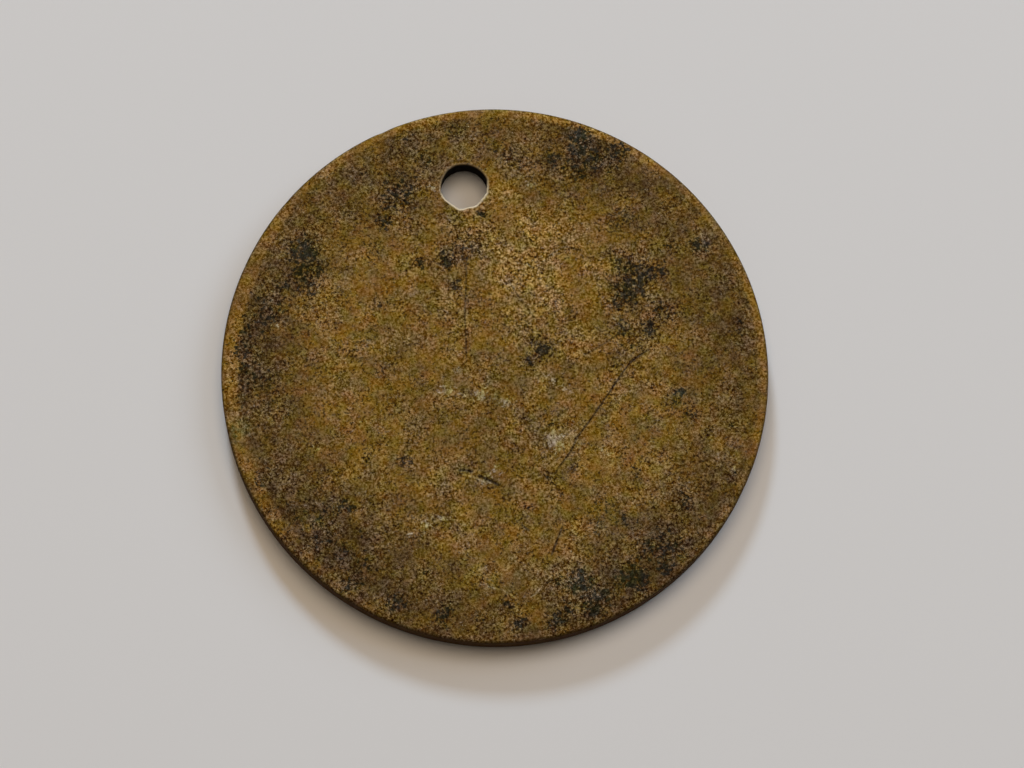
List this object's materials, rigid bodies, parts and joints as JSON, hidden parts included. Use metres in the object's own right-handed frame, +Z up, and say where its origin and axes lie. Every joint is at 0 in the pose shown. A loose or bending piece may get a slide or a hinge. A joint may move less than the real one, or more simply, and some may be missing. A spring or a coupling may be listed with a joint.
{
  "type": "ball marker",
  "caption": "Flat round brass disc with a small through hole near its rim, rounded edges and plain faces.",
  "frame": {"origin": "centre of the disc's lower face", "axes": "+Z up through the thickness, out of the upper face; the hole lies on the +Y side of the centre"},
  "size_m": [0.0254, 0.0254, 0.0013],
  "materials": {
    "tarnished_brass": "old, dull brown-gold tarnish with dark speckled stains; cleaner along the rim"
  },
  "bodies": {
    "root": {"marker_disc": "tarnished_brass"}
  },
  "joints": []
}
